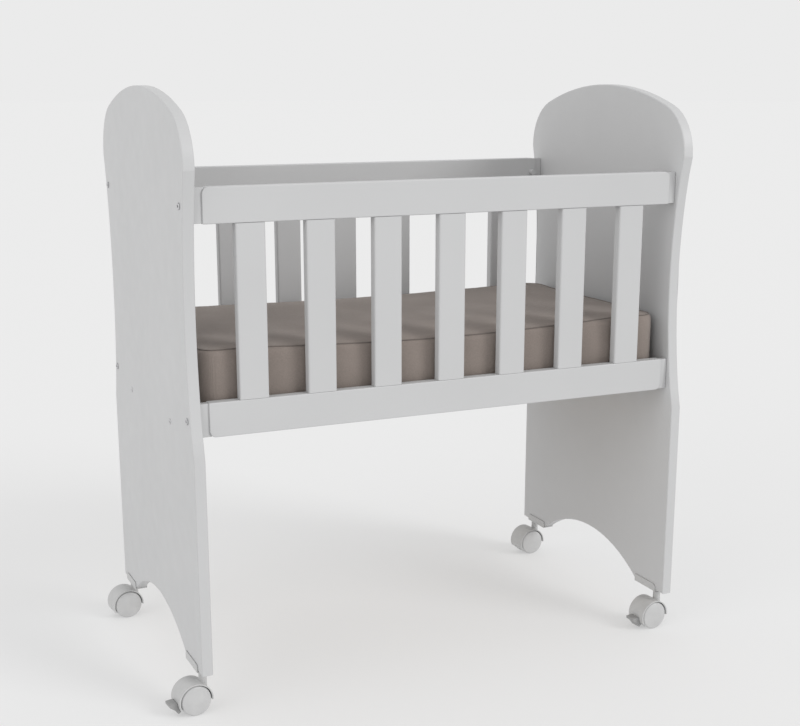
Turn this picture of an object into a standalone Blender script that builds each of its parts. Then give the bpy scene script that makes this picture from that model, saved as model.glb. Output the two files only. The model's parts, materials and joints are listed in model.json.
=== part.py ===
"""Baby crib: two shaped end panels, slatted sides, a mattress on a board, and four twin-wheel casters.

Metres, +Z up, +X along the crib, -Y is the front. The origin is on the floor, under the middle of the
whole object's box, so that the casters, which trail towards -X, are counted in.
"""

import math

import bmesh
import bpy
from mathutils import Matrix, Vector

# Clearances
FIT_GAP = 0.0003          # between faces that touch
AXLE_GAP = 0.0003         # radial, round a pin that turns
MATTRESS_GAP = 0.004      # mattress to bottom rail
MATTRESS_END_GAP = 0.0075  # mattress to end panel
BOARD_GAP = 0.002         # mattress board to rails and end panels

# End panels
CRIB_LENGTH = 0.863       # over the outer faces of the end panels
PANEL_WIDTH = 0.500
PANEL_HEIGHT = 0.879
PANEL_THICK = 0.018
HEAD_RADIUS = 0.578       # the wide arc over the top
SHOULDER_RADIUS = 0.086
SHOULDER_LIP = 0.002      # straight edge between shoulder and waist
WAIST_DEPTH = 0.0237
WAIST_SOFTNESS = 0.90     # power of the waist curve: below 1 it leaves the straight edges at an angle
WAIST_BELOW_RAIL = 0.031  # where the waist starts, below the bottom rail
FOOT_WIDTH = 0.085        # each foot, beside the arch
ARCH_RISE = 0.054

# Side rails and slats
RAIL_HEIGHT = 0.053
RAIL_THICK = 0.018
RAIL_SETBACK = 0.018      # front face behind the panel's widest edge
TOP_RAIL_DROP = 0.1393    # panel's top to rail's top
BOTTOM_RAIL_RISE = 0.371  # panel's foot to rail's underside
RAIL_CORNER = 0.010
SHOULDER_GAP = 0.013      # the rail's face stops this far from the end panel
TENON_SETBACK = 0.003     # end tenon behind the rail's faces
TENON_TRIM = 0.001        # end tenon below the rail's edges
TENON_ROOT = 0.006        # tenon inside the rail
SLAT_COUNT = 7
SLAT_END_MARGIN = 0.049   # rail's end to the outermost slat
SLAT_WIDTH = 0.046
SLAT_SETBACK = 0.0005   # slat's faces behind the rail's faces
SLAT_EDGE = 0.003
TONGUE_THICK = 0.010
TONGUE_SETBACK = 0.004  # slat's side to its tongue
MORTISE_DEPTH = 0.010

# Mattress, its board and cleats
BOARD_THICK = 0.012
CLEAT_HEIGHT = 0.030
CLEAT_THICK = 0.018
CLEAT_INSET = 0.044       # cleat's end to the bottom rail
CLEAT_RISE = 0.3604       # panel's foot to cleat's underside
MATTRESS_THICK = 0.100
MATTRESS_CORNER = 0.030
MATTRESS_EDGE = 0.008

# Rail bolts and the bores for their barrel nuts
BOLT_RADIUS = 0.003
BOLT_HEAD_RADIUS = 0.0052
BOLT_HEAD_HEIGHT = 0.0018
BOLT_KEY_RADIUS = 0.0023
BOLT_KEY_DEPTH = 0.0025
BOLT_PAST_NUT = 0.0055    # the bolt's tip beyond the nut's axis
NUT_BORE_RADIUS = 0.005
NUT_BORE_PAST_BOLT = 0.004  # the bore's blind end beyond the bolt's axis
NUT_INSET = 0.0225        # nut's axis from the end panel's inner face

# Casters
CASTER_HEIGHT = 0.068     # floor to the end panel's foot
CASTER_INSET = 0.030      # stem behind the foot's edge
CASTER_TURN = math.radians(5)
TRAIL = 0.018
WHEEL_RADIUS = 0.025
WHEEL_WIDTH = 0.0155
WHEEL_DOME = 0.003
WHEEL_EDGE = 0.0015
WHEEL_BORE_DEPTH = 0.009
AXLE_RADIUS = 0.003
WEB_HALF = 0.0035
WHEEL_SIDE_GAP = 0.0005
HOOD_GAP = 0.0009
HOOD_WALL = 0.0021
HOOD_FRONT = math.radians(-4)
HOOD_REAR = math.radians(204)
HUB_RADIUS = 0.010
BOSS_RADIUS = 0.0065
BOSS_GAP = 0.0047         # hood's boss to the foot
STEM_RADIUS = 0.004
STEM_DEPTH = 0.030
PIN_RADIUS = 0.003
PIN_REACH = 0.026         # into the hood
COLLAR_RADIUS = 0.006
SHOE_WALL = 0.0016
SHOE_HEIGHT = 0.013
SHOE_FLOOR = 0.002
PEDAL_HALF_WIDTH = 0.010
PEDAL_LENGTH = 0.013      # beyond the hood
PEDAL_LIP = 0.005         # the tab's lower end, beyond the hood
PEDAL_TOP = math.radians(2)   # the tab's upper face, behind the axle and below its level
ARM_THICK = 0.0026
ARM_RING = 0.0065         # radius of the arm's eye, round the axle
ARM_GAP = 0.0005          # round the eye, in the web's recess

# Smoothness of round shapes
WHEEL_STEPS = 24
HOLE_STEPS = 16
HOOD_STEPS = 18
WAIST_STEPS = 14
ARC_STEPS = 8
CORNER_STEPS = 4

# Worked out from the sizes above
INNER_HALF = CRIB_LENGTH / 2 - PANEL_THICK
HALF_WIDTH = PANEL_WIDTH / 2
FOOT_Z = CASTER_HEIGHT
RAIL_HALF = INNER_HALF - SHOULDER_GAP
RAIL_FACE_Y = HALF_WIDTH - RAIL_SETBACK
RAIL_MID_Y = RAIL_FACE_Y - RAIL_THICK / 2
RAIL_BACK_Y = RAIL_FACE_Y - RAIL_THICK
TOP_RAIL_Z = FOOT_Z + PANEL_HEIGHT - TOP_RAIL_DROP - RAIL_HEIGHT
BOTTOM_RAIL_Z = FOOT_Z + BOTTOM_RAIL_RISE
SLAT_PITCH = (2 * (RAIL_HALF - SLAT_END_MARGIN) - SLAT_WIDTH) / (SLAT_COUNT - 1)
SLAT_THICK = RAIL_THICK - 2 * SLAT_SETBACK
TONGUE_WIDTH = SLAT_WIDTH - 2 * TONGUE_SETBACK
BOLT_REACH = NUT_INSET + BOLT_PAST_NUT
CLEAT_Z = FOOT_Z + CLEAT_RISE
BOARD_Z = CLEAT_Z + CLEAT_HEIGHT + FIT_GAP
MATTRESS_Z = BOARD_Z + BOARD_THICK + FIT_GAP
STEM_X = CRIB_LENGTH / 2 - PANEL_THICK / 2
STEM_Y = HALF_WIDTH - CASTER_INSET
ARCH_HALF = HALF_WIDTH - FOOT_WIDTH
AXLE_Z = WHEEL_RADIUS * math.cos(math.pi / WHEEL_STEPS)
HOOD_INNER = WHEEL_RADIUS + HOOD_GAP
HOOD_OUTER = HOOD_INNER + HOOD_WALL
HOOD_HALF = WEB_HALF + WHEEL_SIDE_GAP + WHEEL_WIDTH
BOSS_TOP = CASTER_HEIGHT - BOSS_GAP
WHEEL_INNER_Y = WEB_HALF + WHEEL_SIDE_GAP
PEDAL_TIP = HOOD_OUTER + PEDAL_LENGTH


def caster_reach(x, y):
    """How far a caster's point, given in its own frame, stands out from the crib's middle along X."""
    return STEM_X + abs(x * math.cos(CASTER_TURN) - y * math.sin(CASTER_TURN))


def left_reach():
    """To the tips of the left pedals."""
    return caster_reach(-TRAIL - PEDAL_TIP * math.cos(PEDAL_TOP), PEDAL_HALF_WIDTH)


def right_reach():
    """To the right panel's bolt heads or the noses of the right hoods."""
    hood = caster_reach(HOOD_OUTER * math.cos(HOOD_FRONT) - TRAIL, -HOOD_HALF)
    return max(CRIB_LENGTH / 2 + BOLT_HEAD_HEIGHT + FIT_GAP, hood)


SHIFT_X = (left_reach() - right_reach()) / 2


# Scene and mesh helpers

def clear_scene():
    for item in list(bpy.data.objects):
        bpy.data.objects.remove(item, do_unlink=True)


def make_material(name, colour, roughness, metallic=0.0):
    material = bpy.data.materials.new(name)
    material.use_nodes = True
    shader = material.node_tree.nodes["Principled BSDF"]
    shader.inputs["Base Color"].default_value = (*colour, 1.0)
    shader.inputs["Roughness"].default_value = roughness
    shader.inputs["Metallic"].default_value = metallic
    return material


def add_object(name, bm, material=None, place=(0, 0, 0), parent=None):
    bmesh.ops.recalc_face_normals(bm, faces=bm.faces[:])
    mesh = bpy.data.meshes.new(name)
    bm.to_mesh(mesh)
    bm.free()
    item = bpy.data.objects.new(name, mesh)
    bpy.context.scene.collection.objects.link(item)
    item.location = place
    item.parent = parent
    if material:
        mesh.materials.append(material)
    return item


def add_empty(name, place, turn=0.0):
    empty = bpy.data.objects.new(name, None)
    bpy.context.scene.collection.objects.link(empty)
    empty.location = place
    empty.rotation_euler = (0, 0, turn)
    return empty


def shade_round(item, degrees=35):
    item.data.shade_smooth()
    item.data.set_sharp_from_angle(angle=math.radians(degrees))


def bevel_edges(item, width, segments, degrees=30):
    bevel = item.modifiers.new("edges", "BEVEL")
    bevel.width = width
    bevel.segments = segments
    bevel.limit_method = "ANGLE"
    bevel.angle_limit = math.radians(degrees)


def boolean(item, other, operation):
    other.hide_render = True
    other.display_type = "WIRE"
    cut = item.modifiers.new(other.name, "BOOLEAN")
    cut.operation = operation
    cut.solver = "EXACT"
    cut.object = other


def add_box(bm, low, high):
    size = Vector(high) - Vector(low)
    middle = (Vector(high) + Vector(low)) / 2
    place = Matrix.Translation(middle) @ Matrix.Diagonal((*size, 1))
    bmesh.ops.create_cube(bm, size=1, matrix=place)


def add_cylinder(bm, radius, start, axis, length, steps=HOLE_STEPS):
    direction = Vector(axis).normalized()
    turn = Vector((0, 0, 1)).rotation_difference(direction).to_matrix().to_4x4()
    middle = Vector(start) + direction * length / 2
    half_step = Matrix.Rotation(math.pi / steps, 4, "Z")
    bmesh.ops.create_cone(bm, cap_ends=True, segments=steps, radius1=radius, radius2=radius,
                          depth=length, matrix=Matrix.Translation(middle) @ turn @ half_step)


def add_prism(bm, outline, direction):
    """A closed outline of 3-D points, pushed along a direction."""
    face = bm.faces.new([bm.verts.new(point) for point in outline])
    pushed = bmesh.ops.extrude_face_region(bm, geom=[face])
    moved = [part for part in pushed["geom"] if isinstance(part, bmesh.types.BMVert)]
    bmesh.ops.translate(bm, verts=moved, vec=Vector(direction))


def add_turned(bm, profile, axis, steps):
    """A profile of (radius, height) points, spun about Y or Z. Both its ends lie on the axis."""
    if axis == "Y":
        points = [Vector((radius, height, 0)) for radius, height in profile]
        turn_axis = (0, 1, 0)
    else:
        points = [Vector((radius, 0, height)) for radius, height in profile]
        turn_axis = (0, 0, 1)
    verts = [bm.verts.new(Matrix.Rotation(math.pi / steps, 3, axis) @ point) for point in points]
    edges = [bm.edges.new(pair) for pair in zip(verts, verts[1:])]
    bmesh.ops.spin(bm, geom=verts + edges, cent=(0, 0, 0), axis=turn_axis, angle=2 * math.pi,
                   steps=steps, use_merge=True)
    bmesh.ops.remove_doubles(bm, verts=bm.verts[:], dist=1e-6)


def arc(centre, radius, start, end, steps):
    """Points (a, b) on an arc, both ends included."""
    angles = [start + (end - start) * step / steps for step in range(steps + 1)]
    return [(centre[0] + radius * math.cos(angle), centre[1] + radius * math.sin(angle)) for angle in angles]


def polar(radius, degrees):
    """A point (x, z) at an angle from +X, about an axle."""
    return radius * math.cos(math.radians(degrees)), radius * math.sin(math.radians(degrees))


# End panels

def panel_half_outline():
    """Points (y, z) from the top's middle round the +Y edge to the arch's middle."""
    join = math.asin((HALF_WIDTH - SHOULDER_RADIUS) / (HEAD_RADIUS - SHOULDER_RADIUS))
    head_centre = (0, PANEL_HEIGHT - HEAD_RADIUS)
    shoulder_z = head_centre[1] + (HEAD_RADIUS - SHOULDER_RADIUS) * math.cos(join)
    shoulder_centre = (HALF_WIDTH - SHOULDER_RADIUS, shoulder_z)
    head = arc(head_centre, HEAD_RADIUS, math.pi / 2, math.pi / 2 - join, ARC_STEPS)
    shoulder = arc(shoulder_centre, SHOULDER_RADIUS, math.pi / 2 - join, 0, ARC_STEPS)[1:]
    waist_high = shoulder_z - SHOULDER_LIP
    waist_low = BOTTOM_RAIL_RISE - WAIST_BELOW_RAIL
    waist = []
    for step in range(WAIST_STEPS + 1):
        along = 1 - 2 * step / WAIST_STEPS
        inward = WAIST_DEPTH * max(0.0, 1 - along ** 2) ** WAIST_SOFTNESS
        height = (waist_high + waist_low) / 2 + along * (waist_high - waist_low) / 2
        waist.append((HALF_WIDTH - inward, height))
    foot = [(HALF_WIDTH, 0)]
    arch_radius = (ARCH_HALF ** 2 + ARCH_RISE ** 2) / (2 * ARCH_RISE)
    arch_angle = math.asin(ARCH_HALF / arch_radius)
    arch_centre = (0, ARCH_RISE - arch_radius)
    arch = arc(arch_centre, arch_radius, math.pi / 2 - arch_angle, math.pi / 2, ARC_STEPS)
    return head + shoulder + waist + foot + arch


def bolt_places():
    """(front or back, top or bottom, y, z) of each rail's middle."""
    rails = (("top", TOP_RAIL_Z), ("bottom", BOTTOM_RAIL_Z))
    return [(side, level, way * RAIL_MID_Y, low + RAIL_HEIGHT / 2)
            for side, way in (("front", -1), ("back", 1)) for level, low in rails]


def make_end_panel(name, end, material):
    """end is -1 for the left panel and 1 for the right one."""
    half = panel_half_outline()
    mirrored = [(-y, z) for y, z in reversed(half[1:-1])]
    outer = end * CRIB_LENGTH / 2 + SHIFT_X
    bm = bmesh.new()
    add_prism(bm, [(outer, y, z + FOOT_Z) for y, z in half + mirrored], (-end * PANEL_THICK, 0, 0))
    panel = add_object(name, bm, material)
    holes = bmesh.new()
    for _, _, y, z in bolt_places():
        start = (outer + end * PANEL_THICK, y, z)
        add_cylinder(holes, BOLT_RADIUS + FIT_GAP, start, (-end, 0, 0), 3 * PANEL_THICK)
    for way in (-1, 1):
        start = (end * STEM_X + SHIFT_X, way * STEM_Y, FOOT_Z - STEM_DEPTH)
        add_cylinder(holes, STEM_RADIUS + FIT_GAP, start, (0, 0, 1), 2 * STEM_DEPTH + FIT_GAP)
    boolean(panel, add_object(name + "_holes", holes), "DIFFERENCE")
    return panel


# Side rails, slats and bolts

def rail_outline(low, rounded_top):
    """The rail's face in (x, z), with two round corners on the side's outer edge."""
    near, far = (low, low + RAIL_HEIGHT) if rounded_top else (low + RAIL_HEIGHT, low)
    inward = RAIL_CORNER if far > near else -RAIL_CORNER
    turn = 1 if far > near else -1
    right = arc((RAIL_HALF - RAIL_CORNER, 0), RAIL_CORNER, 0, math.pi / 2, CORNER_STEPS)
    right = [(x, far - inward + turn * z) for x, z in right]
    left = [(-x, z) for x, z in reversed(right)]
    return [(-RAIL_HALF, near), (RAIL_HALF, near)] + right + left


def slat_places():
    return [(index + 1, (index - (SLAT_COUNT - 1) / 2) * SLAT_PITCH) for index in range(SLAT_COUNT)]


def make_rail(name, way, low, is_top, material):
    """way is -1 for the front and 1 for the back."""
    mid_y = way * RAIL_MID_Y
    bm = bmesh.new()
    outline = [(x + SHIFT_X, mid_y - RAIL_THICK / 2, z) for x, z in rail_outline(low, is_top)]
    add_prism(bm, outline, (0, RAIL_THICK, 0))
    rail = add_object(name, bm, material)

    tenons = bmesh.new()
    half_tenon = RAIL_THICK / 2 - TENON_SETBACK
    for end in (-1, 1):
        tip = end * (INNER_HALF - FIT_GAP) + SHIFT_X
        root = end * (RAIL_HALF - TENON_ROOT) + SHIFT_X
        add_box(tenons, (min(tip, root), mid_y - half_tenon, low + TENON_TRIM),
                (max(tip, root), mid_y + half_tenon, low + RAIL_HEIGHT - TENON_TRIM))
    boolean(rail, add_object(name + "_tenons", tenons), "UNION")

    cuts = bmesh.new()
    slat_side = low if is_top else low + RAIL_HEIGHT
    reach = MORTISE_DEPTH + FIT_GAP
    for _, x in slat_places():
        add_box(cuts, (x + SHIFT_X - TONGUE_WIDTH / 2 - FIT_GAP, mid_y - TONGUE_THICK / 2 - FIT_GAP, slat_side - reach),
                (x + SHIFT_X + TONGUE_WIDTH / 2 + FIT_GAP, mid_y + TONGUE_THICK / 2 + FIT_GAP, slat_side + reach))
    for end in (-1, 1):
        face = end * INNER_HALF + SHIFT_X
        middle_z = low + RAIL_HEIGHT / 2
        start = (face + end * BOLT_REACH, mid_y, middle_z)
        add_cylinder(cuts, BOLT_RADIUS + FIT_GAP, start, (-end, 0, 0), 2 * BOLT_REACH + 2 * FIT_GAP)
    boolean(rail, add_object(name + "_cuts", cuts), "DIFFERENCE")

    bores = bmesh.new()
    for end in (-1, 1):
        depth = RAIL_THICK / 2 + NUT_BORE_PAST_BOLT
        start = (end * (INNER_HALF - NUT_INSET) + SHIFT_X, way * (RAIL_BACK_Y - depth), low + RAIL_HEIGHT / 2)
        add_cylinder(bores, NUT_BORE_RADIUS, start, (0, way, 0), 2 * depth)
    boolean(rail, add_object(name + "_nut_bores", bores), "DIFFERENCE")
    return rail


def make_slat(name, x, way, material):
    """A slat that stands between the rails, with a tongue at each end for the mortises."""
    low = BOTTOM_RAIL_Z + RAIL_HEIGHT + FIT_GAP
    high = TOP_RAIL_Z - FIT_GAP
    half_w = SLAT_WIDTH / 2
    half_t = SLAT_THICK / 2
    outline = []
    for corner, (side_x, side_y) in enumerate(((1, 1), (-1, 1), (-1, -1), (1, -1))):
        centre = (side_x * (half_w - SLAT_EDGE), side_y * (half_t - SLAT_EDGE))
        outline += arc(centre, SLAT_EDGE, corner * math.pi / 2, (corner + 1) * math.pi / 2, 2)
    bm = bmesh.new()
    add_prism(bm, [(px, py, 0) for px, py in outline], (0, 0, high - low))
    slat = add_object(name, bm, material, (x + SHIFT_X, way * RAIL_MID_Y, low))
    tongues = bmesh.new()
    past = MORTISE_DEPTH + FIT_GAP
    add_box(tongues, (-TONGUE_WIDTH / 2, -TONGUE_THICK / 2, -past), (TONGUE_WIDTH / 2, TONGUE_THICK / 2, high - low + past))
    boolean(slat, add_object(name + "_tongues", tongues, None, slat.location), "UNION")
    shade_round(slat)
    return slat


def make_bolt(name, end, y, z, material):
    """A countersunk connector bolt with a hexagon socket, its head against the panel's outer face."""
    bm = bmesh.new()
    tip = -(PANEL_THICK + BOLT_REACH - FIT_GAP)
    top = BOLT_HEAD_HEIGHT + FIT_GAP
    edge = BOLT_HEAD_HEIGHT / 3
    profile = [(0, tip), (BOLT_RADIUS, tip), (BOLT_RADIUS, FIT_GAP), (BOLT_HEAD_RADIUS, FIT_GAP),
               (BOLT_HEAD_RADIUS, top - edge), (BOLT_HEAD_RADIUS - edge, top), (0, top)]
    add_turned(bm, profile, "Z", HOLE_STEPS)
    bolt = add_object(name, bm, material, (end * CRIB_LENGTH / 2 + SHIFT_X, y, z))
    bolt.rotation_euler = (0, end * math.pi / 2, 0)
    key = bmesh.new()
    add_cylinder(key, BOLT_KEY_RADIUS, (0, 0, top - BOLT_KEY_DEPTH), (0, 0, 1), 2 * BOLT_KEY_DEPTH, 6)
    socket = add_object(name + "_key", key, None, bolt.location)
    socket.rotation_euler = bolt.rotation_euler
    boolean(bolt, socket, "DIFFERENCE")
    return bolt


# Mattress and what it lies on

def make_mattress(material):
    half_x = INNER_HALF - MATTRESS_END_GAP
    half_y = RAIL_BACK_Y - MATTRESS_GAP
    outline = []
    for corner, (side_x, side_y) in enumerate(((1, 1), (-1, 1), (-1, -1), (1, -1))):
        centre = (side_x * (half_x - MATTRESS_CORNER), side_y * (half_y - MATTRESS_CORNER))
        outline += arc(centre, MATTRESS_CORNER, corner * math.pi / 2, (corner + 1) * math.pi / 2, CORNER_STEPS)
    bm = bmesh.new()
    add_prism(bm, [(px, py, 0) for px, py in outline], (0, 0, MATTRESS_THICK))
    mattress = add_object("mattress", bm, material, (SHIFT_X, 0, MATTRESS_Z))
    bevel_edges(mattress, MATTRESS_EDGE, 2, degrees=60)
    shade_round(mattress)
    return mattress


def make_board(material):
    half_x = INNER_HALF - BOARD_GAP
    half_y = RAIL_BACK_Y - BOARD_GAP
    bm = bmesh.new()
    add_box(bm, (-half_x, -half_y, 0), (half_x, half_y, BOARD_THICK))
    return add_object("mattress_board", bm, material, (SHIFT_X, 0, BOARD_Z))


def make_cleat(name, end, material):
    bm = bmesh.new()
    inner = INNER_HALF - FIT_GAP
    near, far = sorted((end * inner, end * (inner - CLEAT_THICK)))
    half_y = RAIL_BACK_Y - CLEAT_INSET
    add_box(bm, (near, -half_y, 0), (far, half_y, CLEAT_HEIGHT))
    return add_object(name, bm, material, (SHIFT_X, 0, CLEAT_Z))


# Casters. Each is made in its own frame: the stem's axis is Z, and the axle lies at x = -TRAIL.

def make_shoe(name, end, way, material):
    """A channel that straps the foot of an end panel, from the arch to just past the stem."""
    nose_y = STEM_Y + BOSS_RADIUS + SHOE_WALL
    low = FOOT_Z - SHOE_FLOOR
    bm = bmesh.new()
    half = PANEL_THICK / 2 + FIT_GAP + SHOE_WALL
    round_end = [(nose_y - SHOE_HEIGHT / 2 + y, z + low + SHOE_HEIGHT / 2)
                 for y, z in arc((0, 0), SHOE_HEIGHT / 2, 0, math.pi / 2, CORNER_STEPS)]
    side = [(ARCH_HALF, low), (nose_y, low)] + round_end + [(ARCH_HALF, low + SHOE_HEIGHT)]
    add_prism(bm, [(end * STEM_X + SHIFT_X - half, way * y, z) for y, z in side], (2 * half, 0, 0))
    shoe = add_object(name, bm, material)
    cut = bmesh.new()
    slot = PANEL_THICK / 2 + FIT_GAP
    middle_x = end * STEM_X + SHIFT_X
    ends = sorted((way * (ARCH_HALF - SHOE_WALL), way * (nose_y + SHOE_WALL)))
    add_box(cut, (middle_x - slot, ends[0], FOOT_Z - FIT_GAP), (middle_x + slot, ends[1], low + 2 * SHOE_HEIGHT))
    boolean(shoe, add_object(name + "_slot", cut), "DIFFERENCE")
    hole = bmesh.new()
    add_cylinder(hole, STEM_RADIUS + FIT_GAP, (middle_x, way * STEM_Y, low - SHOE_FLOOR), (0, 0, 1), 3 * SHOE_FLOOR)
    boolean(shoe, add_object(name + "_hole", hole), "DIFFERENCE")
    return shoe


def make_stem(name, parent, material):
    """Grip stem with a collar under the shoe and a pin that the hood turns on."""
    collar_top = CASTER_HEIGHT - SHOE_FLOOR - FIT_GAP
    profile = [(0, BOSS_TOP - PIN_REACH + FIT_GAP), (PIN_RADIUS, BOSS_TOP - PIN_REACH + FIT_GAP),
               (PIN_RADIUS, BOSS_TOP + FIT_GAP), (COLLAR_RADIUS, BOSS_TOP + FIT_GAP),
               (COLLAR_RADIUS, collar_top), (STEM_RADIUS, collar_top),
               (STEM_RADIUS, CASTER_HEIGHT + STEM_DEPTH - FIT_GAP), (0, CASTER_HEIGHT + STEM_DEPTH - FIT_GAP)]
    bm = bmesh.new()
    add_turned(bm, profile, "Z", HOLE_STEPS)
    stem = add_object(name, bm, material, parent=parent)
    shade_round(stem)
    return stem


def make_hood(name, parent, material):
    """Fender over both wheels, with the web between them and the boss round the stem's pin."""
    rim = arc((0, 0), HOOD_OUTER, HOOD_FRONT, HOOD_REAR, HOOD_STEPS)
    hub = arc((0, 0), HUB_RADIUS, math.radians(225), math.radians(330), CORNER_STEPS)
    bm = bmesh.new()
    add_prism(bm, [(x, -HOOD_HALF, z) for x, z in rim + hub], (0, 2 * HOOD_HALF, 0))
    place = (-TRAIL, 0, AXLE_Z)
    hood = add_object(name, bm, material, place, parent)

    boss = bmesh.new()
    add_cylinder(boss, BOSS_RADIUS, (TRAIL, 0, HUB_RADIUS), (0, 0, 1), BOSS_TOP - AXLE_Z - HUB_RADIUS)
    boolean(hood, add_object(name + "_boss", boss, None, place, parent), "UNION")

    pockets = bmesh.new()
    for way in (-1, 1):
        add_cylinder(pockets, HOOD_INNER, (0, way * WEB_HALF, 0), (0, way, 0), HOOD_HALF, 2 * WHEEL_STEPS)
    boolean(hood, add_object(name + "_pockets", pockets, None, place, parent), "DIFFERENCE")

    bores = bmesh.new()
    add_cylinder(bores, AXLE_RADIUS + AXLE_GAP, (0, -2 * WEB_HALF, 0), (0, 1, 0), 4 * WEB_HALF)
    add_cylinder(bores, PIN_RADIUS + AXLE_GAP, (TRAIL, 0, BOSS_TOP - AXLE_Z - PIN_REACH), (0, 0, 1), 2 * PIN_REACH)
    boolean(hood, add_object(name + "_bores", bores, None, place, parent), "DIFFERENCE")

    recess = bmesh.new()
    lip = math.degrees(HOOD_REAR)
    sweep = [polar(ARM_RING + ARM_GAP, degrees) for degrees in range(150, -91, -30)]
    sweep += [polar(PEDAL_TIP, lip + 41), polar(PEDAL_TIP, lip + 1), polar(HOOD_INNER - 2 * ARM_GAP, lip - 9)]
    low_y = WEB_HALF - ARM_THICK - 2 * FIT_GAP
    add_prism(recess, [(x, low_y, z) for x, z in sweep], (0, WHEEL_INNER_Y + ARM_GAP - low_y, 0))
    boolean(hood, add_object(name + "_arm_recess", recess, None, place, parent), "DIFFERENCE")
    shade_round(hood)
    return hood


def make_axle(name, parent, material):
    half = WHEEL_INNER_Y + WHEEL_BORE_DEPTH - FIT_GAP
    bm = bmesh.new()
    add_cylinder(bm, AXLE_RADIUS, (0, -half, 0), (0, 1, 0), 2 * half)
    axle = add_object(name, bm, material, (-TRAIL, 0, AXLE_Z), parent)
    shade_round(axle)
    return axle


def make_wheel(name, way, parent, material):
    """A wheel with a flat tread and a domed outer face, bored blind for the axle."""
    outer = WHEEL_WIDTH
    bore = AXLE_RADIUS + AXLE_GAP
    disc = WHEEL_RADIUS - WHEEL_EDGE
    profile = [(0, WHEEL_BORE_DEPTH), (bore, WHEEL_BORE_DEPTH), (bore, 0), (disc, 0),
               (WHEEL_RADIUS, WHEEL_EDGE), (WHEEL_RADIUS, outer - WHEEL_EDGE), (disc, outer),
               (2 * disc / 3, outer + 5 * WHEEL_DOME / 9), (disc / 3, outer + 8 * WHEEL_DOME / 9), (0, outer + WHEEL_DOME)]
    profile = [(radius, way * (height + WHEEL_INNER_Y)) for radius, height in profile]
    bm = bmesh.new()
    add_turned(bm, profile, "Y", WHEEL_STEPS)
    wheel = add_object(name, bm, material, (-TRAIL, 0, AXLE_Z), parent)
    shade_round(wheel)
    return wheel


def make_pedal(name, parent, material):
    """Brake pedal: a tab behind the hood on a thin arm that turns about the axle beside the web."""
    clear = HOOD_OUTER + 2 * FIT_GAP
    lip = math.degrees(HOOD_REAR)
    tab = [polar(clear, lip - 23), polar(clear, lip - 16), polar(clear, lip - 8), polar(clear, lip + 2),
           polar(HOOD_INNER + FIT_GAP, lip + 3), polar(HOOD_INNER + FIT_GAP, lip + 10),
           polar(HOOD_OUTER + PEDAL_LIP, lip + 11), polar(HOOD_OUTER + 1.3 * PEDAL_LIP, lip - 4),
           polar(PEDAL_TIP, lip - 16), polar(PEDAL_TIP, 180 + math.degrees(PEDAL_TOP))]
    bm = bmesh.new()
    add_prism(bm, [(x, -PEDAL_HALF_WIDTH, z) for x, z in tab], (0, 2 * PEDAL_HALF_WIDTH, 0))
    place = (-TRAIL, 0, AXLE_Z)
    pedal = add_object(name, bm, material, place, parent)

    arm = bmesh.new()
    arm_low = WEB_HALF - ARM_THICK
    reach = (HOOD_INNER + HOOD_OUTER + PEDAL_LIP) / 2
    sides = [polar(ARM_RING, degrees) for degrees in range(-90, 151, 30)]
    sides += [polar(reach, lip + 4), polar(reach, lip + 9)]
    add_prism(arm, [(x, arm_low, z) for x, z in sides], (0, ARM_THICK, 0))
    boolean(pedal, add_object(name + "_arm", arm, None, place, parent), "UNION")
    hole = bmesh.new()
    add_cylinder(hole, AXLE_RADIUS + AXLE_GAP, (0, arm_low - ARM_THICK, 0), (0, 1, 0), 3 * ARM_THICK)
    boolean(pedal, add_object(name + "_hole", hole, None, place, parent), "DIFFERENCE")
    return pedal


def make_caster(corner, end, way, looks):
    name = corner + "_"
    post = add_empty(name + "caster", (end * STEM_X + SHIFT_X, way * STEM_Y, 0), CASTER_TURN)
    make_shoe(name + "shoe", end, way, looks["fittings"])
    make_stem(name + "stem", post, looks["steel"])
    make_hood(name + "hood", post, looks["fittings"])
    make_axle(name + "axle", post, looks["steel"])
    make_wheel(name + "near_wheel", -1, post, looks["wheels"])
    make_wheel(name + "far_wheel", 1, post, looks["wheels"])
    if way < 0:
        make_pedal(name + "brake_pedal", post, looks["fittings"])


def main():
    clear_scene()
    looks = {
        "paint": make_material("white_paint", (0.72, 0.72, 0.71), 0.45),
        "board": make_material("plain_board", (0.60, 0.52, 0.42), 0.75),
        "fabric": make_material("taupe_fabric", (0.27, 0.23, 0.21), 0.90),
        "fittings": make_material("white_nylon", (0.70, 0.70, 0.69), 0.40),
        "wheels": make_material("grey_nylon", (0.66, 0.66, 0.66), 0.40),
        "steel": make_material("zinc_steel", (0.60, 0.60, 0.60), 0.35, 1.0),
    }
    for name, end in (("left", -1), ("right", 1)):
        make_end_panel(name + "_end_panel", end, looks["paint"])
        make_cleat(name + "_board_cleat", end, looks["board"])
        for side, level, y, z in bolt_places():
            make_bolt(f"{side}_{level}_{name}_bolt", end, y, z, looks["steel"])
    for side, way in (("front", -1), ("back", 1)):
        make_rail(side + "_top_rail", way, TOP_RAIL_Z, True, looks["paint"])
        make_rail(side + "_bottom_rail", way, BOTTOM_RAIL_Z, False, looks["paint"])
        for number, x in slat_places():
            make_slat(f"{side}_slat_{number}", x, way, looks["paint"])
        for name, end in (("left", -1), ("right", 1)):
            make_caster(f"{side}_{name}", end, way, looks)
    make_board(looks["board"])
    make_mattress(looks["fabric"])


main()
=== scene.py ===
import json
import math

import bmesh
import bpy
from mathutils import Matrix, Vector
from mathutils.bvhtree import BVHTree


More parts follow.
